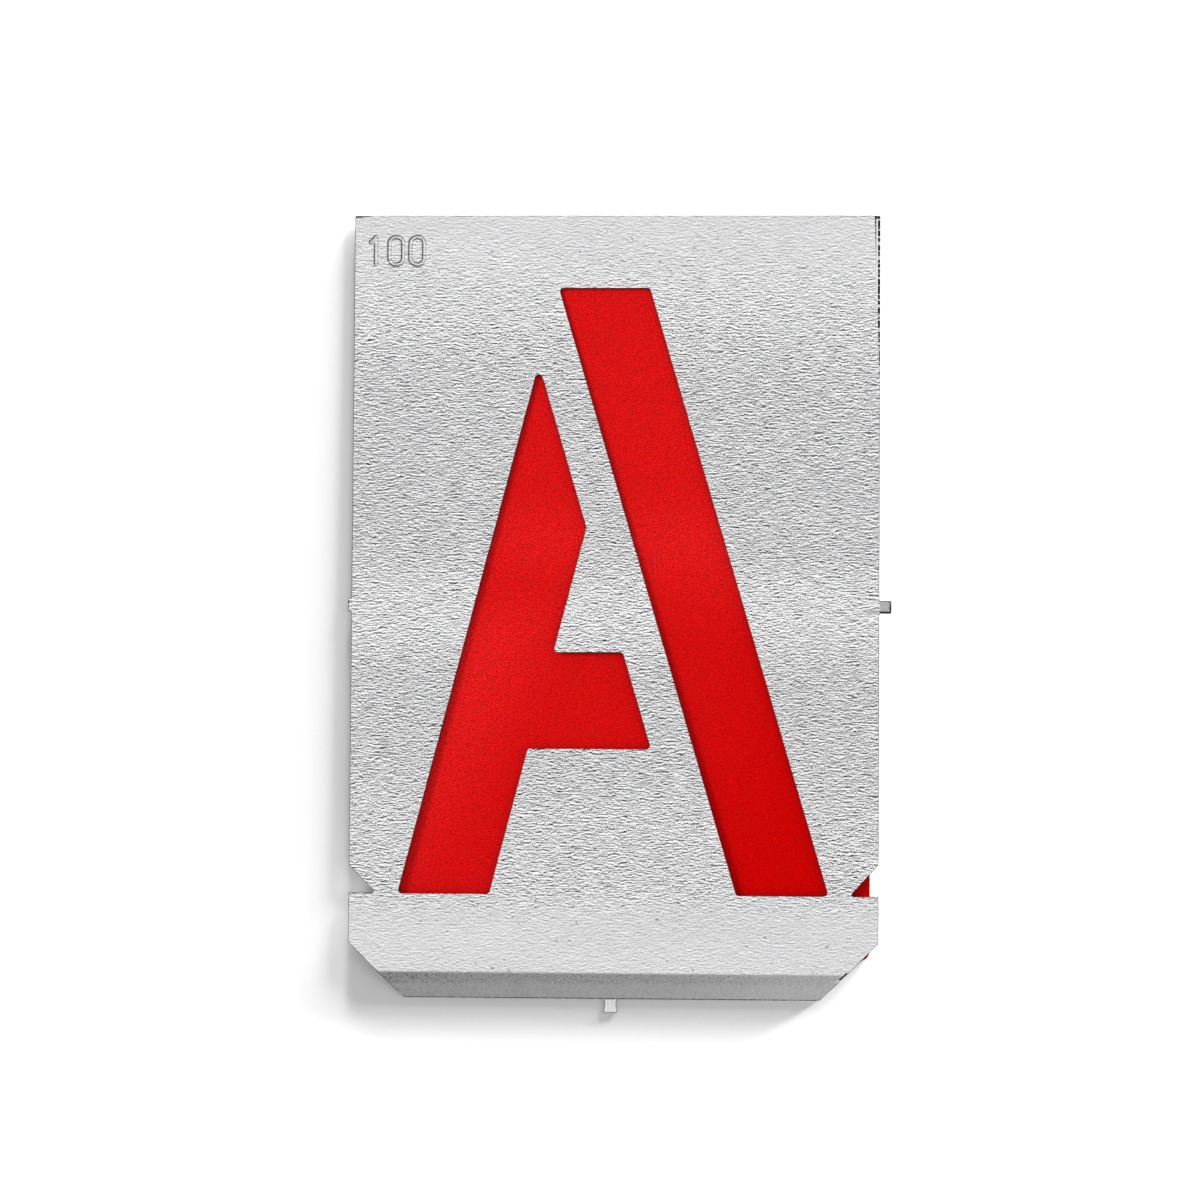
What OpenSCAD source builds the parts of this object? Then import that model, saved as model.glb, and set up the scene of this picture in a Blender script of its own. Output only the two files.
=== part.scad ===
// Lettering stencil: a pressed metal sheet with the letter A cut through it, and a loose backing card.
// The stencil lies face up on the ground, with the card under it. The edge of its lip and the far end of
// the card carry the sheet, so the sheet slopes down gently from its foot to its head.
// Up is +Z, the top of the letter points to +Y, and the origin is on the ground under the middle of the
// whole outline, stubs included. Lengths are in millimetres and angles in degrees.

/* [Letter] */
// Height of the letter, from its baseline to its top
letter_h = 100; // [90:1:110]
// How far the left leg leans inwards over the height of the letter
left_lean = 25.9; // [23:0.1:30]
// How far the right leg leans inwards over the height of the letter
right_lean = 29.8; // [26:0.1:34]
// Width of a slanting stroke, measured along the baseline
stroke_w = 15; // [12:0.1:16]
// Metal left between the two openings, measured along the baseline
bridge_w = 7.1; // [5:0.1:9]
// Underside of the crossbar above the baseline
bar_y = 23.9; // [20:0.1:27]
// Height of the crossbar
bar_h = 15.8; // [12:0.1:17]
// Radius in the corners of the openings
opening_r = 0.6; // [0.2:0.1:1]

/* [Sheet] */
// Left edge of the sheet to the left foot of the letter
margin_left = 8.1; // [7:0.1:12]
// Right foot of the letter to the right edge of the sheet
margin_right = 8.2; // [7:0.1:12]
// Top of the letter to the top edge of the sheet
margin_top = 12.1; // [8:0.1:20]
// Bend of the lip to the baseline
margin_foot = 12.7; // [9:0.1:20]
// Thickness of the sheet
sheet_t = 0.5; // [0.3:0.05:0.8]

/* [Lip] */
// Length of the lip along the sheet, from the end of the bend to its edge
lip_l = 4.4; // [3:0.1:6]
// Angle by which the lip is bent down
lip_angle = 18; // [12:1:30]
// Inside radius of the bend
bend_r = 0.4; // [0.2:0.1:1]
// Height above the bend at which the cut across the lower left corner starts
left_cut = 4.6; // [2:0.1:7]
// Height above the bend at which the cut across the lower right corner starts
right_cut = 5; // [2:0.1:7]

/* [Notches] */
// Depth of the left baseline notch to its sharp tip
left_notch_d = 4.5; // [3:0.1:5.5]
// Height of the left baseline notch
left_notch_h = 4.5; // [3:0.1:6]
// Depth of the right baseline notch to its sharp tip
right_notch_d = 4.7; // [3:0.1:5.5]
// Height of the right baseline notch
right_notch_h = 5.2; // [3:0.1:6]
// Radius in the tip of a notch
notch_r = 0.3; // [0.1:0.1:0.5]

/* [Stubs] */
// Width of the stubs left where the blank was broken out of its strip
stub_w = 2.1; // [1:0.1:3]
// Length of the stub on the right side
right_stub_l = 2; // [0.5:0.1:3]
// Length of the stub on the left side, which broke off short
left_stub_l = 0.6; // [0.3:0.1:3]
// Length of the stub at the foot, from the edge of the lip
foot_stub_l = 2.2; // [0.5:0.1:3]
// How far the stub at the foot lies to the left of the middle
foot_stub_shift = 0.3; // [0:0.1:1]
// Radius on the corners of a stub, and in its root
stub_r = 0.25; // [0.1:0.05:0.25]

/* [Card] */
// Thickness of the backing card
card_t = 0.4; // [0.2:0.05:0.6]
// Side of the sheet to the side of the card, with the card in the middle
card_side_gap = 3.5; // [2.5:0.1:4.5]
// Bend of the lip to the lower edge of the card
card_foot_gap = 2.2; // [1:0.1:5]
// Top edge of the card to the top edge of the sheet
card_head_gap = 2.6; // [1:0.1:5]
// How far the card lies to the right of the middle
card_shift = 2.1; // [0:0.1:2.4]
// Radius on the corners of the card
card_r = 1.5; // [0.5:0.1:3]
// Clearance between the far end of the card and the sheet that rests on it
slide_gap = 0.05; // [0.02:0.01:0.1]

/* [Hidden] */
metal_colour = [0.83, 0.84, 0.85];
card_colour = [0.84, 0.06, 0.06];
// Straight pieces in each rounded corner, and in the bend
arc_steps = 8;
// How far a cutting shape runs past the metal that it cuts
past = 2;

letter_w = left_lean + stroke_w + right_lean;
left_slope = left_lean / letter_h;
right_slope = right_lean / letter_h;
plate_w = margin_left + letter_w + margin_right;
plate_h = margin_foot + letter_h + margin_top;
half_w = plate_w / 2;
// Left foot of the letter, measured from the middle of the bend
letter_x = margin_left - half_w;
// The stubs are at the middle of the blank, which is the sheet with its lip laid flat
bend_l = (bend_r + sheet_t / 2) * lip_angle * PI / 180;
blank_mid_y = (plate_h - bend_l - lip_l) / 2;

// Lower edge of the lip, on its underside and on its upper side, as [along the sheet, above its underside]
lip_under = turned_down([-lip_l, 0]);
lip_upper = turned_down([-lip_l, sheet_t]);

// The card: its size, and its far end measured along the sheet
card_w = plate_w - 2 * card_side_gap;
card_h = plate_h - card_foot_gap - card_head_gap;
card_end = plate_h - card_head_gap;
// The slope at which the lip and the far end of the card carry the sheet
reach = [card_end, 0] - lip_under;
slope = atan2(reach.y, reach.x) - asin((card_t + slide_gap) / norm(reach));
// Lift that brings the lower edge of the lip to the ground
lift = -laid_down(lip_under).y;

// The outline's ends on the ground, and its middle, which is the origin
far_y = laid_down([plate_h, sheet_t]).x;
near_y = laid_down([lip_upper.x - foot_stub_l, lip_under.y]).x;
mid_y = (far_y + near_y) / 2;
mid_x = (right_stub_l - left_stub_l) / 2;

// A point of the flat sheet, carried round the bend into the lip
function turned_down(p) = let (q = p + [0, bend_r])
    [q.x * cos(lip_angle) - q.y * sin(lip_angle), q.x * sin(lip_angle) + q.y * cos(lip_angle) - bend_r];

// A point in the side view of the sheet, as it lies with its slope
function laid_down(p) = [p.x * cos(slope) + p.y * sin(slope), p.y * cos(slope) - p.x * sin(slope)];

// Points of an arc about a centre, from one angle to another
function arc(centre, r, from, to) =
    [for (k = [0 : arc_steps]) centre + r * [cos(from + (to - from) * k / arc_steps),
                                             sin(from + (to - from) * k / arc_steps)]];

// The rounded corner at point b, where the outline comes from a and goes on to c
function rounded_corner(a, b, c, r) = let (
    u = (a - b) / norm(a - b),
    v = (c - b) / norm(c - b),
    half = acos(u * v) / 2,
    middle = (u + v) / norm(u + v),
    centre = b + middle * r / sin(half),
    back = atan2(-middle.y, -middle.x),
    side = sign(u.x * v.y - u.y * v.x) * (90 - half)
) arc(centre, r, back + side, back - side);

// An outline whose corners are given as [x, y, radius], where a radius of 0 keeps the corner sharp
function rounded(corners) = let (n = len(corners)) [
    for (i = [0 : n - 1]) let (
        b = corners[i],
        a = corners[(i + n - 1) % n],
        c = corners[(i + 1) % n]
    ) each b.z > 0 ? rounded_corner([a.x, a.y], [b.x, b.y], [c.x, c.y], b.z) : [[b.x, b.y]]
];

// The left opening: the left leg and the crossbar, cut off along the bridge
module left_opening() {
    cut_foot = left_lean + right_lean - bridge_w;
    bar_top = bar_y + bar_h;
    crotch_y = (cut_foot - stroke_w) / (left_slope + right_slope);
    peak_y = cut_foot / (left_slope + right_slope);
    polygon(rounded([
        [0, 0, opening_r],
        [stroke_w, 0, opening_r],
        [stroke_w + left_slope * bar_y, bar_y, opening_r],
        [cut_foot - right_slope * bar_y, bar_y, opening_r],
        [cut_foot - right_slope * bar_top, bar_top, opening_r],
        [stroke_w + left_slope * bar_top, bar_top, opening_r],
        [stroke_w + left_slope * crotch_y, crotch_y, opening_r],
        [left_slope * peak_y, peak_y, opening_r]
    ]));
}

// The right opening: the whole right leg
module right_opening() {
    polygon(rounded([
        [left_lean + right_lean, 0, opening_r],
        [letter_w, 0, opening_r],
        [left_lean + stroke_w, letter_h, opening_r],
        [left_lean, letter_h, opening_r]
    ]));
}

// A baseline notch in the edge at x = 0, cut towards -X
module notch(depth, height) {
    polygon(rounded([
        [-depth, 0, notch_r],
        [past, 0, 0],
        [past, height + past * height / depth, 0]
    ]));
}

// A broken-off stub that stands out along +X from x = 0, with round corners and a filleted root.
// The buried length is the part of it that lies within the sheet.
module stub(length, buried) {
    end_r = min(stub_r, length / 3);
    side = stub_w / 2;
    root = side + 2 * end_r;
    polygon(rounded([
        [-buried, -root, 0],
        [0, -root, 0],
        [0, -side, end_r],
        [length, -side, end_r],
        [length, side, end_r],
        [0, side, end_r],
        [0, root, 0],
        [-buried, root, 0]
    ]));
}

// Carries a shape that is drawn on the flat sheet round the bend into the lip
module in_the_lip() {
    translate([0, 0, -bend_r]) rotate([lip_angle, 0, 0]) translate([0, 0, bend_r]) children();
}

// Side view of the sheet: flat, bend and lip
module side_view() {
    polygon(concat(
        [[plate_h, 0], [plate_h, sheet_t]],
        arc([0, -bend_r], bend_r + sheet_t, 90, 90 + lip_angle),
        [lip_upper, lip_under],
        arc([0, -bend_r], bend_r, 90 + lip_angle, 90)
    ));
}

// A cut through the whole thickness of the sheet
module cut() {
    translate([0, 0, -past]) linear_extrude(sheet_t + 2 * past) children();
}

// What falls away across the lower right corner: one straight cut over the flat, the bend and the lip
module corner_cut(height) {
    bend_reach = (bend_r + sheet_t) * sin(lip_angle);
    flat_x = half_w - height;
    lip_x = flat_x - bend_l;
    lip_end = lip_l + past;
    cut() polygon([
        [flat_x - bend_reach, -bend_reach],
        [half_w + past, -bend_reach],
        [half_w + past, height + past]
    ]);
    in_the_lip() cut() polygon([
        [lip_x + bend_reach, bend_reach],
        [lip_x - lip_end, -lip_end],
        [half_w + past, -lip_end],
        [half_w + past, bend_reach]
    ]);
}

// The pressed sheet: flat with its underside at z = 0 and its bend along the X axis
module bent_sheet() {
    difference() {
        rotate([90, 0, 90]) linear_extrude(plate_w, center = true) side_view();
        corner_cut(right_cut);
        mirror([1, 0, 0]) corner_cut(left_cut);
        translate([half_w, margin_foot]) cut() notch(right_notch_d, right_notch_h);
        translate([-half_w, margin_foot]) mirror([1, 0, 0]) cut() notch(left_notch_d, left_notch_h);
        translate([letter_x, margin_foot]) cut() {
            left_opening();
            right_opening();
        }
    }
    translate([half_w, blank_mid_y]) linear_extrude(sheet_t) stub(right_stub_l, sheet_t);
    translate([-half_w, blank_mid_y]) mirror([1, 0, 0]) linear_extrude(sheet_t) stub(left_stub_l, sheet_t);
    translate([-foot_stub_shift, lip_upper.x, lip_under.y]) rotate([0, 0, -90])
        linear_extrude(sheet_t) stub(foot_stub_l, lip_under.x - lip_upper.x);
}

// The stencil as it lies, carried by the edge of its lip and by the far end of the card
module stencil_plate() {
    color(metal_colour) translate([-mid_x, -mid_y, lift]) rotate([-slope, 0, 0]) bent_sheet();
}

// The loose card, flat on the ground
module backing_card() {
    far_end = laid_down([card_end, 0]).x - mid_y;
    color(card_colour) translate([card_shift - mid_x, far_end - card_h / 2]) linear_extrude(card_t)
        polygon(rounded([
            [-card_w / 2, -card_h / 2, card_r],
            [card_w / 2, -card_h / 2, card_r],
            [card_w / 2, card_h / 2, card_r],
            [-card_w / 2, card_h / 2, card_r]
        ]));
}

stencil_plate();
backing_card();
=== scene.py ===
"""A lettering stencil: a pressed aluminium sheet with its letter cut through, lying over a loose red card.

The sheet is drawn flat in millimetres, as the blank that a press would cut, with x to the right and s up
from the line of the bend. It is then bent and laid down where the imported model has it, in metres.
"""

import math

import bmesh
import bpy
from bpy.props import FloatProperty, FloatVectorProperty, PointerProperty
from mathutils import Matrix, Vector, noise


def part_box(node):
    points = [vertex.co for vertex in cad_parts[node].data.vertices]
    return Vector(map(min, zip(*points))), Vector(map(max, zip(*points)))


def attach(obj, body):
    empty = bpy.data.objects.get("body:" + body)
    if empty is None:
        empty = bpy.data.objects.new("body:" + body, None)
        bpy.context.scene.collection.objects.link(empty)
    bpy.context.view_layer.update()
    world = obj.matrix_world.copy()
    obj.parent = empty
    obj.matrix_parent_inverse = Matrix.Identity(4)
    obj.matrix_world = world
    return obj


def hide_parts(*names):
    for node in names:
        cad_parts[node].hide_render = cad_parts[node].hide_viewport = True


bl_info = {
    "name": "Lettering stencil",
    "version": (1, 0, 0),
    "blender": (4, 5, 0),
    "location": "3D Viewport > Sidebar > Stencil",
    "description": "Builds a pressed metal lettering stencil and the red card under it",
    "category": "Add Mesh",
}

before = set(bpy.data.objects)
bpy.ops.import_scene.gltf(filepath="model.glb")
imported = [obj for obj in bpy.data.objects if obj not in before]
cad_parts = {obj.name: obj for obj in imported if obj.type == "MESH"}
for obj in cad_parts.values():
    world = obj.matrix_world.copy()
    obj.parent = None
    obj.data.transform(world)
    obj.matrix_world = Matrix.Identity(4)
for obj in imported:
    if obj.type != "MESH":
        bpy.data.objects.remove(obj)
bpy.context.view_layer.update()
SHEET_NODE, SHEET_BODY = "stencil_plate", "sheet"
CARD_NODE = "backing_card"
MM = 0.001

# Length over which the stub at the foot bends level again, in millimetres
STUB_BEND = 0.4

# Spacing of the lines along which the blank's faces are cut before it is bent, in millimetres
GRID = 4

# Distances between the points of the outer edge and of the openings, in millimetres, and the seed of the
# noise by which they wander
OUTER_STEP = 0.8
OPENING_STEP = 0.45
WANDER_SEED = 1

# How near a point of the mesh may lie to such a line and still count as on it, in millimetres
CUT_SLACK = 0.0002

# A face whose normal has more of Z than this lies on the upper side or the underside of the blank
LEVEL = 0.98

# The share of the thickness that the shears can press away, and the angle from which an edge is shaded sharp
MOST_PRESSED = 0.75
SHARP = math.radians(35)

# Places in the frame where the finishes change, in millimetres: along Y the bend, the edge of the lip and a
# line below the number, and along X the root of the right-hand stub
BEND_Y = -59.06
LIP_EDGE_Y = BEND_Y - 4.55
NUMBER_Y = 48.0
STUB_X = 42.84

# The camera, as it was fitted to the outline: its turns about X, Y and Z in degrees, how far it stands aside
# of the middle, and the height above the bend that it looks at, in millimetres
CAMERA_TURNS = (-2.71, -2.49, -0.27)
CAMERA_ASIDE = (-2.41, -1.41, 0.0)
CAMERA_AIM = 62.5

# The lamps of the floor: how far each is turned from the right to the back, its height above the horizon and
# its width, in degrees, and its strength
FLOOR_LAMPS = {
    "broad_lamp": (56.5, 3.3, 28, 1.08),
    "back_lamp": (88, 8, 8, 0.72),
    "side_lamp": (35, 3.4, 10, 1.24),
    "upper_lamp": (5, 32, 40, 0.26),
}

# The floor's own glow, as the camera sees it, and the share of the light that its paint gives back
FLOOR_GLOW = 0.16
FLOOR_PAINT = 0.25


def length(name, description, millimetres):
    """A size in metres, with its default given in millimetres."""
    return FloatProperty(
        name=name, description=description, default=millimetres * MM, unit="LENGTH", precision=5
    )


def degrees(name, description, value):
    """An angle in radians, with its default given in degrees."""
    return FloatProperty(name=name, description=description, default=math.radians(value), subtype="ANGLE")


def colour(name, description, value):
    """A colour in linear light."""
    return FloatVectorProperty(
        name=name, description=description, default=value, size=3, min=0.0, max=1.0, subtype="COLOR"
    )


class LetterSizes(bpy.types.PropertyGroup):
    """The letter that is cut through the sheet."""

    height: length("Height", "Letter height, from its baseline to its top", 100)
    left_lean: length("Left lean", "How far the left leg leans inwards over the letter's height", 25.9)
    right_lean: length("Right lean", "How far the right leg leans inwards over the letter's height", 29.8)
    stroke: length("Stroke", "Width of a leg, measured along the baseline", 15)
    bridge: length("Bridge", "Metal left between the two openings, measured along the baseline", 7.1)
    bar_low: length("Crossbar foot", "Underside of the crossbar above the baseline", 23.9)
    bar_height: length("Crossbar height", "Height of the crossbar", 15.8)
    corner: length("Corner radius", "Radius in the corners of the openings", 0.6)


class SheetSizes(bpy.types.PropertyGroup):
    """The pressed sheet."""

    margin_left: length("Left margin", "Left edge of the sheet to the left foot of the letter", 8.1)
    margin_right: length("Right margin", "Right foot of the letter to the right edge of the sheet", 8.2)
    margin_top: length("Top margin", "Top of the letter to the top edge of the sheet", 12.1)
    margin_foot: length("Foot margin", "Bend of the lip to the baseline", 12.7)
    thickness: length("Thickness", "Thickness of the sheet", 0.5)
    lip: length("Lip", "Length of the lip, from the end of the bend to its edge", 4.4)
    lip_angle: degrees("Lip angle", "Angle by which the lip is bent down", 18)
    bend_radius: length("Bend radius", "Inside radius of the bend", 0.4)
    left_cut: length("Left corner cut", "Height above the bend at which the left corner is cut off", 4.6)
    right_cut: length("Right corner cut", "Height above the bend at which the right corner is cut off", 5)
    edge: length("Edge radius", "Rounding that the press leaves along every cut edge", 0.09)
    wobble: length("Wobble", "How far a cut edge wanders from its line", 0.035)
    metal: colour("Metal", "Colour of the brushed aluminium", (0.68, 0.68, 0.69))
    # The cut finish is dark partly as painted shade
    cut_metal: colour("Cut metal", "Colour of the sheared edges", (0.3, 0.3, 0.305))


class NotchSizes(bpy.types.PropertyGroup):
    """The two baseline notches."""

    left_depth: length("Left depth", "Depth of the left notch to its sharp tip", 4.5)
    left_height: length("Left height", "Height of the left notch", 4.5)
    right_depth: length("Right depth", "Depth of the right notch to its sharp tip", 4.7)
    right_height: length("Right height", "Height of the right notch", 5.2)
    tip: length("Tip radius", "Radius in the tip of a notch", 0.3)


class StubSizes(bpy.types.PropertyGroup):
    """The stubs left where the blank was broken out of its strip."""

    width: length("Width", "Width of a stub", 2.1)
    right: length("Right stub", "Length of the stub on the right side", 2)
    left: length("Left stub", "Length of the stub on the left side, which broke off short", 0.6)
    foot: length("Foot stub", "Length of the stub at the foot", 2.2)
    foot_shift: length("Foot stub shift", "How far the stub at the foot lies to the left of the middle", 0.3)
    corner: length("Corner radius", "Radius on the corners of a stub, and in its root", 0.25)


class NumberSizes(bpy.types.PropertyGroup):
    """The plain number that is pressed up out of the sheet: the height of the letter in millimetres."""

    height: length("Height", "Height of the digits", 4.6)
    left: length("Left", "Left edge of the sheet to the number", 2.6)
    top: length("Top", "Top edge of the sheet to the top of the number", 3.6)
    stroke: length("Stroke", "Width of the pressed ridge", 0.66)
    raised: length("Raised", "How far the ridge stands up", 0.23)


class CardLooks(bpy.types.PropertyGroup):
    """The loose card."""

    # The card's colour is blended from these two by painted light and shade
    red: colour("Red", "Colour of the card where it looks lightest", (0.57, 0.0079, 0.0083))
    deep_red: colour("Deep red", "Colour of the card where it looks darkest", (0.439, 0.0002, 0.0002))
    edge: length("Edge radius", "Rounding along the edges of the card", 0.05)
    head_gap: length("Head gap", "Top edge of the card to the top edge of the sheet", 2.6)
    slide_gap: length("Slide gap", "Clearance between the far end of the card and the sheet", 0.05)


class StageLooks(bpy.types.PropertyGroup):
    """The floor, the light and the camera."""

    floor: FloatProperty(name="Floor", description="Side of the square floor", default=6.0, unit="LENGTH")
    camera_away: length("Camera distance", "From the camera to the middle of the sheet", 576.5)
    camera_lens: FloatProperty(
        name="Lens", description="Focal length of the camera", default=105.0, unit="CAMERA"
    )
    card_lamp_height: degrees("Card lamp height", "Height of the card lamp above the horizon", 42)
    card_lamp_turn: degrees("Card lamp turn", "How far the lamp is turned from the right to the back", 160)
    card_lamp_spread: degrees("Card lamp spread", "Width of the card lamp as the card sees it", 20)
    card_lamp_strength: FloatProperty(
        name="Card lamp strength", description="How bright it makes a white level surface", default=0.38
    )


class StencilSettings(bpy.types.PropertyGroup):
    """Everything that a user can change."""

    letter: PointerProperty(type=LetterSizes)
    sheet: PointerProperty(type=SheetSizes)
    notch: PointerProperty(type=NotchSizes)
    stub: PointerProperty(type=StubSizes)
    number: PointerProperty(type=NumberSizes)
    card: PointerProperty(type=CardLooks)
    stage: PointerProperty(type=StageLooks)


def settings():
    """The settings of the scene that is open."""
    return bpy.context.scene.stencil


class InMillimetres:
    """Reads the lengths of a property group in millimetres, and its other values as they are."""

    def __init__(self, group):
        self.group = group

    def __getattr__(self, name):
        value = getattr(self.group, name)
        is_length = self.group.bl_rna.properties[name].unit == "LENGTH"
        return value / MM if is_length else value


class Wire:
    """A socket that can be used in an expression. Each operator adds the Math node that it stands for."""

    def __init__(self, shading, socket):
        self.shading = shading
        self.socket = socket

    def math(self, operation, *values):
        return self.shading.add("Math", {"operation": operation}, dict(enumerate(values)))

    def __add__(self, other):
        return self.math("ADD", self, other)

    def __radd__(self, other):
        return self.math("ADD", other, self)

    def __sub__(self, other):
        return self.math("SUBTRACT", self, other)

    def __rsub__(self, other):
        return self.math("SUBTRACT", other, self)

    def __mul__(self, other):
        return self.math("MULTIPLY", self, other)

    def __rmul__(self, other):
        return self.math("MULTIPLY", other, self)

    def __abs__(self):
        return self.math("ABSOLUTE", self)

    def at_least(self, other):
        return self.math("MAXIMUM", self, other)

    def step(self, start, end):
        """0 before start and 1 after end, with a smooth rise between them. Start may be the larger one."""
        values = {"Value": self, "From Min": start, "From Max": end}
        return self.shading.add("MapRange", {"interpolation_type": "SMOOTHSTEP"}, values)


class Shading:
    """Writes the nodes of one material or world."""

    def __init__(self, owner):
        owner.use_nodes = True
        self.tree = owner.node_tree
        self.tree.nodes.clear()

    def add(self, kind, settings=None, values=None, out=0):
        """Adds a node, sets it up, fills its sockets with values or links, and gives one of its outputs."""
        node = self.tree.nodes.new("ShaderNode" + kind)
        for name, value in (settings or {}).items():
            setattr(node, name, value)
        for name, value in (values or {}).items():
            self.fill(node.inputs[name], value)
        return Wire(self, node.outputs[out])

    def fill(self, socket, value):
        """Links a socket to a wire, or sets its value."""
        if isinstance(value, Wire):
            self.tree.links.new(value.socket, socket)
        elif socket.type == "RGBA":
            socket.default_value = (*value, 1.0)
        else:
            socket.default_value = value

    def blend(self, amount, low, high):
        """The colour low where amount is 0, and high where it is 1."""
        return self.add("Mix", {"data_type": "RGBA"}, {0: amount, 6: low, 7: high}, out=2)

    def mix(self, amount, low, high):
        """The number low where amount is 0, and high where it is 1."""
        return self.add("Mix", {"data_type": "FLOAT"}, {0: amount, 2: low, 3: high})

    def tint(self, base, tone):
        """A colour, made darker or lighter by tone."""
        grey = self.join(tone, tone, tone)
        return self.add("VectorMath", {"operation": "MULTIPLY"}, {0: grey, 1: base})

    def place(self):
        """Object coordinates in millimetres, as a vector and as its three parts."""
        here = self.add("TexCoord", out="Object")
        here = self.add("VectorMath", {"operation": "SCALE"}, {"Vector": here, "Scale": 1 / MM})
        return here, *self.split(here)

    def split(self, vector):
        """The three parts of a vector."""
        parts = self.add("SeparateXYZ", None, {"Vector": vector}).socket.node
        return [Wire(self, part) for part in parts.outputs]

    def join(self, x, y, z):
        """A vector, or a colour, of three parts."""
        return self.add("CombineXYZ", None, {"X": x, "Y": y, "Z": z})

    def noise(self, where, scale=1.0, detail=2.0, rough=0.5):
        """Soft noise from 0 to 1 about 0.5."""
        values = {"Vector": where, "Scale": scale, "Detail": detail, "Roughness": rough}
        return self.add("TexNoise", {"noise_dimensions": "3D"}, values)

    def bump(self, height, millimetres):
        """A normal from a height of 0 to 1, where 1 stands this high above 0."""
        return self.add("Bump", None, {"Height": height, "Distance": millimetres * MM, "Strength": 1.0})

    def surface(self, values):
        """Ends a material in the principled shader."""
        self.end(self.add("BsdfPrincipled", None, values))

    def end(self, shader, kind="OutputMaterial"):
        """Ends a material, or a world, in a shader."""
        node = self.tree.nodes.new("ShaderNode" + kind)
        self.tree.links.new(shader.socket, node.inputs["Surface"])


def new_material(name):
    """An empty material, and what writes its nodes."""
    material = bpy.data.materials.new(name)
    return material, Shading(material)


def brushed_aluminium(sheet):
    """The face of the sheet: bright, crinkled along X by rolling, with painted light and shade. The crinkles
    are weak at both ends.
    """
    material, shading = new_material("brushed_aluminium")
    here, x, y, _ = shading.place()
    drift = shading.noise(shading.join(x * 0.3, y * 0.7, 0.0), detail=2.0, rough=0.6) - 0.5

    def crinkles(aside):
        lines = shading.join(x + 7.0, (y + drift * 0.6 + aside) * 3.4, 0.0)
        return shading.noise(lines, detail=3.0, rough=0.75)

    # Painted light and shade: the difference of two shifted copies is light on one side of a crinkle and
    # dark on the other
    crinkle_light_and_shade = crinkles(0.075) - crinkles(-0.075)
    streak = shading.noise(shading.join(x * 0.35, y * 4.6, 9.0), detail=2.0) - 0.5
    speckle = shading.noise(shading.join(x * 5.2, y * 5.5, 0.0), detail=1.0) - 0.5
    weakest = 0.29
    depth = y.step(BEND_Y + 7.0, BEND_Y + 16.0) * y.step(BEND_Y + 125.0, BEND_Y + 103.0)
    depth = weakest + depth * (1.0 - weakest)
    cloud = shading.noise(shading.join(x * 0.035, y * 0.16, 3.0), detail=1.0) - 0.5
    pits = shading.noise(here, scale=1.4, detail=0.0).step(0.8, 0.84)
    flat = 0.935 - painted_swell_shade(y) + cloud * 0.1 - pits * 0.4
    flat = flat * (1.0 + (crinkle_light_and_shade * 6.9 + streak * 1.9 + speckle * 3.2) * depth)
    tone = shading.mix(y.step(BEND_Y - 0.5, BEND_Y + 0.15), lip_tone(shading, x, y, speckle), flat)
    # The right-hand stub is drawn flat and darker grey, without crinkles
    on_right_stub = x.step(STUB_X, STUB_X + 0.11)
    tone = shading.mix(on_right_stub, tone, 0.58 + speckle * 1.3)
    # Painted light and shade: faces turned to the right are made lighter, faces turned to the left darker,
    # and the steep flanks of the number darker
    facing_x, _, facing_z = shading.split(shading.add("TexCoord", out="Normal"))
    ridge_flank_shade = facing_z.step(0.985, 0.9) * y.step(NUMBER_Y, NUMBER_Y + 4.0)
    tone = tone * (1.0 + facing_x * 0.6 - ridge_flank_shade * 0.6)
    shading.surface({
        "Base Color": shading.tint(sheet.metal, tone),
        "Metallic": 1.0,
        "Roughness": 0.34,
        "Normal": shading.bump(crinkles(0.0) * depth * (1.0 - on_right_stub), 0.03),
    })
    return material


def lip_tone(shading, x, y, speckle):
    """The lip: speckled, in painted shade that is deepest under the bend, and a streaked stub with painted
    highlights.
    """
    wave = shading.noise(shading.join(x * 0.12, 0.0, 5.0), detail=1.0) - 0.5
    # Painted shade in the strip just under the bend
    upper = (y + wave * 1.4).step(BEND_Y - 2.4, BEND_Y - 1.4)
    dots = shading.noise(shading.join(x, y, 8.0), scale=3.4, detail=1.0).step(0.6, 0.7)
    left_end = x.step(-18.0, -38.0)
    right_end = x.step(8.0, 30.0)
    lip = 0.95 - upper * (0.11 - speckle * 1.3) + speckle * 0.55
    lip = lip - dots * (0.07 + upper * (0.2 + left_end * 0.5))
    grit = shading.noise(shading.join(x, y, 2.0), scale=2.7, detail=2.0) - 0.5
    # Painted light that grows towards the right end, and painted shade over the whole lip
    lip = (lip + grit * 0.5 + x * 0.0034 + right_end * 0.12) * 0.725
    streaks = shading.noise(shading.join(x * 3.2, y * 0.5, 0.0), detail=2.0) - 0.5
    # Painted highlights down both sides of the stub
    sides = abs(x + 1.0).step(0.7, 0.9)
    stub = 0.9 + streaks * 1.1 + sides * 0.3 + speckle * 0.4
    return shading.mix(y.step(LIP_EDGE_Y, LIP_EDGE_Y - 0.2), lip, stub)


def painted_swell_shade(y):
    """The broad darker bands across the sheet: painted shade standing for slight hollows that the mesh
    doesn't have.
    """
    upper = y.step(BEND_Y + 114.0, BEND_Y + 92.0) * y.step(BEND_Y + 61.0, BEND_Y + 70.0)
    below = y.step(BEND_Y + 58.0, BEND_Y + 47.0)
    lower = y.step(BEND_Y + 22.0, BEND_Y + 38.0)
    foot = y.step(BEND_Y + 4.0, BEND_Y + 16.0)
    return upper * 0.165 + below * lower * 0.095 + below * foot * 0.08


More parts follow.
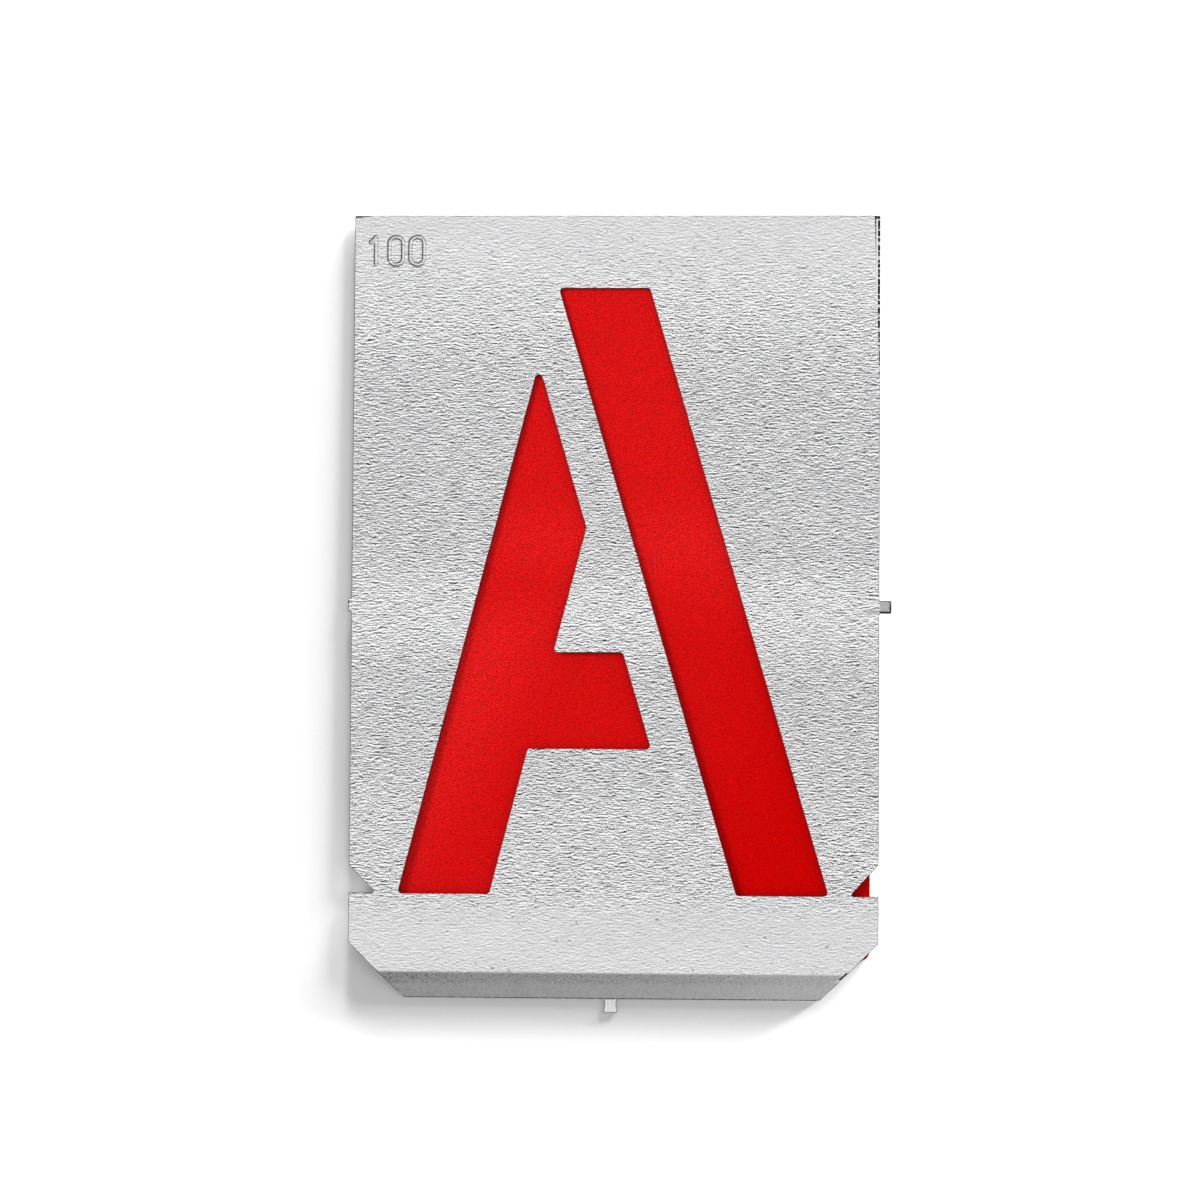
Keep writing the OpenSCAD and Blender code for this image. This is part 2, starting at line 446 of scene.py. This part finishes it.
def sheared_aluminium(sheet):
    """The cut edges: torn across the thickness of the sheet, with bright flecks, and dark partly as painted
    shade.
    """
    material, shading = new_material("sheared_aluminium")
    _, x, y, z = shading.place()
    fleck = shading.noise(shading.join(x * 4.0, y * 2.4, z * 4.0), detail=2.0)
    tear = shading.noise(shading.join(x * 6.0, y * 6.0, z * 1.5), detail=2.0)
    at_foot = y.step(BEND_Y - 1.94, BEND_Y - 3.44)
    tone = 0.13 + fleck.step(0.52, 0.62) * (0.45 + at_foot * 1.2)
    # Painted light and shade on the thinned strip down the right edge: bright between two broken dark lines,
    # and dark in the corner
    dashes = shading.noise(shading.join(0.0, y * 1.25, 4.0), detail=2.0).step(0.43, 0.5)
    gaps = shading.noise(shading.join(0.0, y * 2.3, 7.0), detail=1.0).step(0.48, 0.56)
    outer_line = x.step(42.36, 42.42)
    inner_line = x.step(42.17, 42.09)
    strip = 2.4 - outer_line * (0.6 + dashes * 1.75) - inner_line * (2.32 - gaps * 0.8)
    in_corner = y.step(65.15, 65.3)
    strip = strip * (1.0 - in_corner * 0.93)
    on_strip = x.step(41.7, 41.72) * y.step(34.0, 35.0)
    shading.surface({
        "Base Color": shading.tint(sheet.cut_metal, shading.mix(on_strip, tone, strip)),
        "Metallic": 1.0,
        "Roughness": 0.45 + (tear - 0.5) * 0.2,
        "Normal": shading.bump(tear, 0.04),
    })
    return material


def red_plastic(card):
    """The card: matte red with a fine pebble, in painted light across its middle and painted shade at the
    lower right.
    """
    material, shading = new_material("red_plastic")
    here, x, y, _ = shading.place()
    pebble = shading.noise(here, scale=4.6, detail=1.0)
    grit = shading.noise(here, scale=2.3, detail=0.0).step(0.74, 0.8)
    # Painted light across the middle of the card and painted shade towards its lower right, which blend the
    # two reds
    slant = x - y * 0.6
    upper = 0.6 + y.step(3.0, 12.0) * y.step(21.0, 12.0) * 0.26
    lower = 0.4 + slant.step(0.0, -20.0) * 0.62 - slant.step(0.0, 60.0) * 0.38
    light = shading.mix(y.step(6.0, -6.0), upper, lower)
    tone = 0.98 + (pebble - 0.5) * (1.3 + light * 1.2) + grit * 0.3
    shading.surface({
        "Base Color": shading.tint(shading.blend(light, card.deep_red, card.red), tone),
        "Roughness": 0.55 + (pebble - 0.5) * 0.2,
        "Specular IOR Level": 0.012,
        "Normal": shading.bump(pebble, 0.02),
    })
    return material


def arc(centre, radius, start, end, steps=6):
    """Points of an arc about a centre, from one angle to another."""
    turns = [start + (end - start) * k / steps for k in range(steps + 1)]
    return [centre + radius * Vector((math.cos(a), math.sin(a))) for a in turns]


def rounded(corners):
    """An outline whose corners are given as (x, y, radius), where a radius of 0 keeps the corner sharp."""
    outline = []
    for i, (x, y, radius) in enumerate(corners):
        here = Vector((x, y))
        if not radius:
            outline.append(here)
            continue
        before = (Vector(corners[i - 1][:2]) - here).normalized()
        after = (Vector(corners[(i + 1) % len(corners)][:2]) - here).normalized()
        half = math.acos(max(-1.0, min(1.0, before.dot(after)))) / 2
        middle = (before + after).normalized()
        centre = here + middle * radius / math.sin(half)
        back = math.atan2(-middle.y, -middle.x)
        side = math.copysign(math.pi / 2 - half, before.cross(after))
        outline += arc(centre, radius, back + side, back - side)
    return outline


def wandering(outline, step, amount):
    """The outline with points about a step apart, which wander a little to both sides."""
    wandered = []
    for here, after in zip(outline, outline[1:] + outline[:1]):
        pieces = max(1, round((after - here).length / step))
        for k in range(pieces):
            point = here.lerp(after, k / pieces)
            coarse = noise.noise_vector(point.to_3d() * 0.9)
            fine = noise.noise_vector(point.to_3d() * 2.7 + Vector((31.0, 7.0, 5.0)))
            wandered.append(point + (coarse + fine * 0.6).to_2d() * amount)
    return wandered


class FoldedSheet:
    """Where a point of the flat blank comes to lie: round the bend, down the lip and on its slope."""

    def __init__(self, letter, sheet, stub, card):
        self.thickness = sheet.thickness
        self.radius = sheet.bend_radius
        self.angle = sheet.lip_angle
        letter_width = letter.left_lean + letter.stroke + letter.right_lean
        self.half = (sheet.margin_left + letter_width + sheet.margin_right) / 2
        self.top = sheet.margin_foot + letter.height + sheet.margin_top
        self.bend = (sheet.bend_radius + sheet.thickness / 2) * sheet.lip_angle
        self.foot = -self.bend - sheet.lip
        self.middle = (self.top + self.foot) / 2
        self.lip_under = self.side(self.foot, 0.0)
        self.lip_upper = self.side(self.foot, self.thickness)
        self.lay_down(card)
        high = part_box(SHEET_NODE)[1]
        reach = self.lie(self.top, self.thickness).x
        self.shift = Vector((high.x / MM - stub.right - self.half, high.y / MM - reach))

    def lay_down(self, card):
        """The slope and the lift at which the lip and the far end of the card carry the sheet."""
        card_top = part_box(CARD_NODE)[1].z / MM
        reach = Vector((self.top - card.head_gap, 0.0)) - self.lip_under
        self.slope = math.atan2(reach.y, reach.x) - math.asin((card_top + card.slide_gap) / reach.length)
        self.lift = 0.0
        self.lift = -self.lie(self.foot, 0.0).y

    def side(self, s, height):
        """A point of the side view, as (along the flat, above its underside)."""
        if s >= 0:
            return Vector((s, height))
        turned = min(-s / self.bend, 1.0) * self.angle
        reach = self.radius + height
        along = max(0.0, -max(s, self.foot) - self.bend)
        point = Vector((-math.sin(turned), math.cos(turned))) * reach - Vector((0.0, self.radius))
        return point - Vector((math.cos(turned), math.sin(turned))) * along

    def lie(self, s, height):
        """A point of the side view as it lies, as (towards the top of the letter, above the ground)."""
        point = self.side(s, height)
        past_foot = self.foot - s
        if past_foot > 0:
            level = Vector((self.lip_upper.x, self.lip_under.y + height))
            point = level + (point - level) * falling(past_foot, STUB_BEND) - Vector((past_foot, 0.0))
        along = point.x * math.cos(self.slope) + point.y * math.sin(self.slope)
        return Vector((along, point.y * math.cos(self.slope) - point.x * math.sin(self.slope) + self.lift))

    def place(self, x, s, height, above=0.0):
        """The place of a point of the blank in the frame, in metres. What is above is added upright."""
        point = self.lie(s, height)
        return Vector((x + self.shift.x, point.x + self.shift.y, point.y + above)) * MM


def falling(value, end):
    """1 at 0 and 0 from end on, with a smooth fall between them."""
    t = max(0.0, min(1.0, value / end))
    return 1 - t * t * (3 - 2 * t)


def lettering(letter):
    """The two openings, with the left foot of the letter at the origin."""
    left_slope = letter.left_lean / letter.height
    right_slope = letter.right_lean / letter.height
    leans = letter.left_lean + letter.right_lean
    cut = leans - letter.bridge
    bar_low, bar_top = letter.bar_low, letter.bar_low + letter.bar_height
    crotch = (cut - letter.stroke) / (left_slope + right_slope)
    peak = cut / (left_slope + right_slope)
    r = letter.corner
    left = [
        (0, 0, r),
        (letter.stroke, 0, r),
        (letter.stroke + left_slope * bar_low, bar_low, r),
        (cut - right_slope * bar_low, bar_low, r),
        (cut - right_slope * bar_top, bar_top, r),
        (letter.stroke + left_slope * bar_top, bar_top, r),
        (letter.stroke + left_slope * crotch, crotch, r),
        (left_slope * peak, peak, r),
    ]
    right = [
        (leans, 0, r),
        (leans + letter.stroke, 0, r),
        (letter.left_lean + letter.stroke, letter.height, r),
        (letter.left_lean, letter.height, r),
    ]
    return rounded(left), rounded(right)


def stub_corners(length, width, corner):
    """A stub that stands out along +X from x = 0, as the corners of an outline."""
    side = width / 2
    r = min(corner, length / 3)
    return [(0, -side, r), (length, -side, r), (length, side, r), (0, side, r)]


def waisted_stub(length, width):
    """A stub as stub_corners gives it, drawn thin as it tore off."""
    side = width / 2
    waist = [(length * 0.2, side - 0.14, 0.2), (length * 0.6, side - 0.1, 0.3), (length, side, 0.17)]
    lower = [(x, -y, r) for x, y, r in waist]
    return [(0, -side - 0.15, 0.1), *lower, *reversed(waist), (0, side + 0.15, 0.1)]


def turned(corners, origin, quarter_turns):
    """Corners turned about 0 by quarter turns and moved to an origin."""
    turn = Matrix.Rotation(quarter_turns * math.pi / 2, 2)
    moved = []
    for x, y, r in corners:
        point = turn @ Vector((x, y)) + Vector(origin)
        moved.append((point.x, point.y, r))
    return moved


def blank_outline(fold, sheet, notch, stub):
    """The outer edge of the blank, counter-clockwise from the left end of the lip."""
    half, top, foot = fold.half, fold.top, fold.foot
    baseline = sheet.margin_foot
    small = 0.15
    corners = [
        (sheet.left_cut - half - foot, foot, small),
        *turned(waisted_stub(stub.foot, stub.width), (-stub.foot_shift, foot), -1),
        (half - sheet.right_cut + foot, foot, small),
        (half, sheet.right_cut, small),
        (half, baseline, small),
        (half - notch.right_depth, baseline, notch.tip),
        (half, baseline + notch.right_height, small),
        *turned(stub_corners(stub.right, stub.width, stub.corner), (half, fold.middle), 0),
        (half, top, small),
        (-half, top, small),
        *turned(stub_corners(stub.left, stub.width, stub.corner), (-half, fold.middle), 2),
        (-half, baseline + notch.left_height, small),
        (-half + notch.left_depth, baseline, notch.tip),
        (-half, baseline, small),
        (-half, sheet.left_cut, small),
    ]
    return rounded(corners)


def cut_solid(outlines, thickness, edge):
    """A flat solid between z = 0 and its thickness, with its cut edges rounded."""
    curve = bpy.data.curves.new("cut_solid", "CURVE")
    curve.dimensions = "2D"
    curve.fill_mode = "BOTH"
    curve.extrude = thickness / 2 - edge
    curve.bevel_depth = edge
    curve.bevel_resolution = 1
    curve.offset = -edge
    for outline in outlines:
        spline = curve.splines.new("POLY")
        spline.points.add(len(outline) - 1)
        for point, (x, y) in zip(spline.points, outline):
            point.co = (x, y, 0.0, 1.0)
        spline.use_cyclic_u = True
    holder = bpy.data.objects.new("cut_solid", curve)
    bpy.context.collection.objects.link(holder)
    graph = bpy.context.evaluated_depsgraph_get()
    mesh = bpy.data.meshes.new_from_object(holder.evaluated_get(graph))
    bpy.data.objects.remove(holder)
    solid = bmesh.new()
    solid.from_mesh(mesh)
    bpy.data.meshes.remove(mesh)
    bmesh.ops.translate(solid, verts=solid.verts, vec=(0.0, 0.0, thickness / 2))
    bmesh.ops.remove_doubles(solid, verts=solid.verts, dist=0.0005)
    bmesh.ops.recalc_face_normals(solid, faces=solid.faces)
    return solid


def overlaps(face, low, high):
    """Whether a face may lie in a rectangle of the flat blank."""
    for k in (0, 1):
        places = [vert.co[k] for vert in face.verts]
        if max(places) <= low[k] or high[k] <= min(places):
            return False
    return True


def slice_solid(solid, point, normal, faces=None):
    """Cuts faces along a line of the flat blank without opening them, and gives the faces they become."""
    faces = list(solid.faces if faces is None else faces)
    # The keys of a dictionary, unlike those of a set, come in the same order in each run
    edges = dict.fromkeys(edge for face in faces for edge in face.edges)
    verts = dict.fromkeys(vert for face in faces for vert in face.verts)
    cut = bmesh.ops.bisect_plane(
        solid,
        geom=[*verts, *edges, *faces],
        dist=CUT_SLACK,
        plane_co=(*point, 0.0),
        plane_no=(*normal, 0.0),
    )
    return [part for part in cut["geom"] if isinstance(part, bmesh.types.BMFace)]


def spaced(start, end, step):
    """Even places from start to end, both included, about a step apart."""
    count = max(1, round((end - start) / step))
    return [start + (end - start) * k / count for k in range(count + 1)]


class Rim:
    """A stretch of edge that the shears pressed thin, beyond an inner line from start to end.

    The pressed side lies to the right of that line, as it is seen from its start, and ends at a width. It
    gets thinner outwards, by the steepness.
    """

    def __init__(self, start, end, steepness, width=0.8):
        self.start, self.end, self.width = Vector(start), Vector(end), width
        self.along = (self.end - self.start).normalized()
        self.outward = Vector((self.along.y, -self.along.x))
        self.steepness = steepness

    def beyond(self, point):
        """How far a point of the blank lies beyond the inner line, or 0 where the rim doesn't reach."""
        slack = 0.01
        offset = point - self.start
        reached = -slack <= offset.dot(self.along) <= (self.end - self.start).length + slack
        beyond = offset.dot(self.outward)
        return beyond if reached and 0 < beyond < self.width else 0.0

    def mark(self, solid):
        """Cuts the faces along the inner line, and across both its ends."""
        slice_solid(solid, self.start, self.outward, self.near(solid))
        slice_solid(solid, self.start, self.along, self.near(solid))
        slice_solid(solid, self.end, self.along, self.near(solid))

    def near(self, solid):
        """The faces that the inner line may cross."""
        margin = Vector((0.3, 0.3))
        low = Vector(map(min, self.start, self.end)) - margin
        high = Vector(map(max, self.start, self.end)) + margin
        return [face for face in solid.faces if overlaps(face, low, high)]


def sheared_rims(fold, sheet, stub):
    """The thinned stretches of the sheet's edge."""
    half, top, foot = fold.half, fold.top, fold.foot
    side, worn = stub.width / 2, 0.36
    stub_end = half + stub.right
    low, high = fold.middle - side, fold.middle + side
    left_tip = -half - stub.left + 0.14
    left_end = Vector((sheet.left_cut - half - foot, foot))
    right_end = Vector((half - sheet.right_cut + foot, foot))
    left_bend = Vector((sheet.left_cut - half, 0.0))
    right_bend = Vector((half - sheet.right_cut, 0.0))
    inwards = Vector((0.0, 0.19))
    return [
        # The edge of the lip, and its left end
        Rim(left_end + inwards, right_end + inwards, 0.3, 0.22),
        Rim(left_bend + inwards, left_end + inwards, 0.3),
        # The right end of the bend
        Rim(right_bend + Vector((-1.5, -0.8)), right_bend + Vector((-0.2, 0.3)), 0.6),
        # The right edge up to its corner, where it is widest, and the top left corner
        Rim((half, top - 30), (half - 0.95, top + 0.1), 0.5, 1.2),
        Rim((-half + 3.8, top - 0.04), (-half - 0.1, top - 0.46), 0.9),
        # The lower side, the end and the upper side of the right-hand stub
        Rim((half + 0.1, low + worn), (stub_end + 0.1, low + worn), 0.9),
        Rim((stub_end - worn, low - 0.1), (stub_end - worn, high + 0.1), 0.9),
        Rim((stub_end + 0.1, high - 0.22), (half + 0.05, high - 0.12), 0.9),
        # The end of the left-hand stub
        Rim((left_tip, high), (left_tip, low), 0.9),
    ]


class PressedNumber:
    """The number 100, as the ridge that a stamp pushed up out of the sheet."""

    def __init__(self, number, fold):
        self.number = number
        self.corner = Vector((number.left - fold.half, fold.top - number.top - number.height))
        tall, wide = number.height, number.height * 0.5
        pitch = wide + number.height * 0.26
        one = [(0.0, tall * 0.8), (wide * 0.4, tall), (wide * 0.4, 0.0)]
        self.strokes = [list(zip(one, one[1:]))]
        for start in (pitch * 0.9, pitch * 1.9):
            corners = ((0, 0), (1, 0), (1, 1), (0, 1))
            ring = rounded([(start + x * wide, y * tall, wide * 0.48) for x, y in corners])
            self.strokes.append(list(zip(ring, ring[1:] + ring[:1])))
        self.size = Vector((pitch * 1.9 + wide, tall))
        self.margin = number.stroke * 1.2

    def grid(self, solid):
        """Cuts the upper face finely where the number stands."""
        margin = Vector((self.margin, self.margin))
        low = self.corner - margin
        high = self.corner + self.size + margin
        faces = [face for face in solid.faces if face.normal.z > LEVEL and overlaps(face, low, high)]
        for k, normal in enumerate(((1.0, 0.0), (0.0, 1.0))):
            for value in spaced(low[k], high[k], self.number.stroke * 0.32):
                faces = slice_solid(solid, (value, value), normal, faces)

    def rise(self, point):
        """How far a point of the upper face is pushed up."""
        here = point - self.corner
        inside = all(-self.margin < here[k] < self.size[k] + self.margin for k in (0, 1))
        if not inside:
            return 0.0
        gap = min(distance_to_segment(here, a, b) for stroke in self.strokes for a, b in stroke)
        return self.number.raised * falling(gap - self.number.stroke * 0.15, self.number.stroke * 0.5)


def distance_to_segment(point, start, end):
    """The distance from a point to the nearest point between start and end."""
    start, end = Vector(start), Vector(end)
    along = end - start
    t = max(0.0, min(1.0, (point - start).dot(along) / max(along.length_squared, 1e-12)))
    return (start + along * t - point).length


def folded_sheet(looks):
    """The folded sheet as the settings give it."""
    groups = (looks.letter, looks.sheet, looks.stub, looks.card)
    return FoldedSheet(*(InMillimetres(group) for group in groups))


def build_sheet(looks):
    """The mesh of the sheet, cut as a flat blank and then bent and laid down."""
    letter, sheet = InMillimetres(looks.letter), InMillimetres(looks.sheet)
    notch, stub = InMillimetres(looks.notch), InMillimetres(looks.stub)
    fold = folded_sheet(looks)
    noise.seed_set(WANDER_SEED)
    letter_place = Vector((sheet.margin_left - fold.half, sheet.margin_foot))
    openings = [[point + letter_place for point in outline] for outline in lettering(letter)]
    outer = blank_outline(fold, sheet, notch, stub)
    outlines = [wandering(outer, OUTER_STEP, sheet.wobble * 0.4)]
    outlines += [wandering(opening, OPENING_STEP, sheet.wobble) for opening in openings]
    solid = cut_solid(outlines, fold.thickness, sheet.edge)
    for x in spaced(-fold.half, fold.half, GRID)[1:-1]:
        slice_solid(solid, (x, 0.0), (1.0, 0.0))
    lines = spaced(0.0, fold.top, GRID)[1:-1]
    lines += spaced(-fold.bend, 0.0, fold.bend / 4)
    lines += spaced(fold.foot - STUB_BEND, fold.foot, STUB_BEND / 4)
    for s in lines:
        slice_solid(solid, (0.0, s), (0.0, 1.0))
    number = PressedNumber(InMillimetres(looks.number), fold)
    solid.normal_update()
    number.grid(solid)
    rims = sheared_rims(fold, sheet, stub)
    for rim in rims:
        rim.mark(solid)
    solid.normal_update()
    # Faces that are not level, and the pressed rims, take the cut finish, which is dark partly as painted
    # shade
    for face in solid.faces:
        centre = face.calc_center_median().to_2d()
        on_rim = any(rim.beyond(centre) for rim in rims)
        face.material_index = int(abs(face.normal.z) < LEVEL or on_rim)
        face.smooth = True
    for edge in solid.edges:
        finishes = {face.material_index for face in edge.link_faces}
        edge.smooth = len(finishes) == 1 and edge.calc_face_angle(0.0) < SHARP
    for vert in solid.verts:
        x, s, height = vert.co
        here = Vector((x, s))
        pressed = max(rim.beyond(here) * rim.steepness for rim in rims)
        height *= 1 - min(pressed / fold.thickness, MOST_PRESSED)
        on_top = height > fold.thickness * 0.9
        above = number.rise(here) if on_top else 0.0
        vert.co = fold.place(x, s, height, above)
    mesh = bpy.data.meshes.new("stencil_sheet")
    solid.to_mesh(mesh)
    solid.free()
    return mesh


def new_piece(name, mesh, body, slot, *materials):
    """A piece with its materials, which rides on a body."""
    piece = bpy.data.objects.new(name, mesh)
    bpy.context.collection.objects.link(piece)
    for material in materials:
        mesh.materials.append(material)
    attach(piece, body)
    return piece


class StencilSheet(bpy.types.Operator):
    """Build the pressed metal sheet with its letter, lip, notches and stubs"""

    bl_idname = "stencil.sheet"
    bl_label = "Stencil sheet"

    def execute(self, context):
        looks = settings()
        materials = brushed_aluminium(looks.sheet), sheared_aluminium(looks.sheet)
        piece = new_piece("pressed_sheet", build_sheet(looks), SHEET_BODY, "brushed_sheet", *materials)
        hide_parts(SHEET_NODE)
        return {"FINISHED"}


class StencilCard(bpy.types.Operator):
    """Give the loose card its finish and its rounded edges"""

    bl_idname = "stencil.card"
    bl_label = "Backing card"

    def execute(self, context):
        looks, stage = settings().card, settings().stage
        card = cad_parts[CARD_NODE]
        card.data.materials.clear()
        card.data.materials.append(red_plastic(looks))
        rounding = card.modifiers.new("rounded_edges", "BEVEL")
        rounding.width = looks.edge
        rounding.segments = 2
        turn, height, spread = stage.card_lamp_turn, stage.card_lamp_height, stage.card_lamp_spread
        add_lamp("card_lamp", card, turn, height, spread, stage.card_lamp_strength)
        return {"FINISHED"}


def build_floor(looks):
    """A plain floor, which renders white and takes the shadow."""
    mesh = bpy.data.meshes.new("floor")
    side = looks.floor / 2
    corners = [(-side, -side), (side, -side), (side, side), (-side, side)]
    mesh.from_pydata([(x, y, -0.02 * MM) for x, y in corners], [], [(0, 1, 2, 3)])
    floor = bpy.data.objects.new("floor", mesh)
    bpy.context.collection.objects.link(floor)
    material, shading = new_material("floor_paint")
    rays = shading.add("LightPath").socket.node.outputs
    seen = Wire(shading, rays["Is Camera Ray"]).at_least(Wire(shading, rays["Is Glossy Ray"]))
    glow = shading.add("Emission", None, {"Color": (1.0, 1.0, 1.0), "Strength": seen * FLOOR_GLOW})
    matt = shading.add("BsdfDiffuse", None, {"Color": (FLOOR_PAINT, FLOOR_PAINT, FLOOR_PAINT)})
    shading.end(shading.add("AddShader", None, {0: glow, 1: matt}))
    mesh.materials.append(material)
    return floor


def add_lamp(name, target, turn, height, spread, strength):
    """A broad lamp that lights only one thing.

    Its angles are in radians: how far it is turned from the right to the back, its height above the horizon
    and its width. Its strength is how bright it makes a white level surface.
    """
    lamp = bpy.data.lights.new(name, "SUN")
    lamp.angle = spread
    lamp.energy = strength * math.pi / math.sin(height)
    holder = bpy.data.objects.new(name, lamp)
    bpy.context.collection.objects.link(holder)
    level = math.cos(height)
    towards = Vector((math.cos(turn) * level, math.sin(turn) * level, math.sin(height)))
    holder.rotation_euler = towards.to_track_quat("Z", "Y").to_euler()
    only = bpy.data.collections.new(name + "_lights")
    only.objects.link(target)
    holder.light_linking.receiver_collection = only


def studio_light():
    """Soft light from all round: bright overhead, at the back and at the sides, and dimmer in front."""
    world = bpy.data.worlds.new("studio")
    bpy.context.scene.world = world
    shading = Shading(world)
    x, y, z = shading.split(shading.add("TexCoord", out="Generated"))
    low = z.step(0.93, 0.5)
    front = (y + abs(x) * 0.45).step(-0.12, -0.62)
    sides = abs(x).step(0.35, 0.85)
    level = (1.12 - low * 0.34) * (1.0 - front * 0.42) + sides * 0.45
    light = shading.add("Background", None, {"Color": shading.join(level, level, level), "Strength": 1.0})
    white = shading.add("Background", None, {"Color": (1.0, 1.0, 1.0), "Strength": 1.0})
    rays = shading.add("LightPath").socket.node.outputs
    seen = Wire(shading, rays["Is Camera Ray"])
    shading.end(shading.add("MixShader", None, {0: seen, 1: light, 2: white}), "OutputWorld")


def place_camera(looks):
    """The camera of the photograph, almost straight above the sheet."""
    fold = folded_sheet(settings())
    pitch, yaw, roll = (math.radians(a) for a in CAMERA_TURNS)
    turn = Matrix.Rotation(roll, 4, "Z") @ Matrix.Rotation(yaw, 4, "Y") @ Matrix.Rotation(pitch, 4, "X")
    sloped = Matrix.Rotation(-fold.slope, 4, "X")
    aside = Matrix.Translation(Vector(CAMERA_ASIDE) * MM + Vector((0.0, 0.0, looks.camera_away)))
    middle = Matrix.Translation(fold.place(0.0, CAMERA_AIM, fold.thickness))
    lens = bpy.data.cameras.new("camera")
    lens.lens = looks.camera_lens
    lens.clip_start, lens.clip_end = 0.01, 10.0
    camera = bpy.data.objects.new("camera", lens)
    bpy.context.collection.objects.link(camera)
    camera.matrix_world = middle @ sloped @ turn.inverted() @ aside
    bpy.context.scene.camera = camera


class StencilStage(bpy.types.Operator):
    """Set up the floor, the light and the camera"""

    bl_idname = "stencil.stage"
    bl_label = "Stage"

    def execute(self, context):
        looks = settings().stage
        floor = build_floor(looks)
        for name, (turn, height, spread, strength) in FLOOR_LAMPS.items():
            add_lamp(name, floor, math.radians(turn), math.radians(height), math.radians(spread), strength)
        studio_light()
        place_camera(looks)
        context.scene.view_settings.view_transform = "Standard"
        return {"FINISHED"}


OPERATORS = (StencilStage, StencilSheet, StencilCard)


class StencilPanel(bpy.types.Panel):
    """Lists what the add-on can build"""

    bl_idname = "VIEW3D_PT_stencil"
    bl_label = "Lettering stencil"
    bl_space_type = "VIEW_3D"
    bl_region_type = "UI"
    bl_category = "Stencil"

    def draw(self, context):
        for operator in OPERATORS:
            self.layout.operator(operator.bl_idname)


GROUPS = (
    LetterSizes,
    SheetSizes,
    NotchSizes,
    StubSizes,
    NumberSizes,
    CardLooks,
    StageLooks,
    StencilSettings,
)
CLASSES = (*GROUPS, *OPERATORS, StencilPanel)


def register():
    for cls in CLASSES:
        bpy.utils.register_class(cls)
    bpy.types.Scene.stencil = PointerProperty(type=StencilSettings)


def unregister():
    del bpy.types.Scene.stencil
    for cls in reversed(CLASSES):
        bpy.utils.unregister_class(cls)


def main():
    register()
    bpy.ops.stencil.stage()
    bpy.ops.stencil.sheet()
    bpy.ops.stencil.card()


if __name__ == "__main__":
    main()
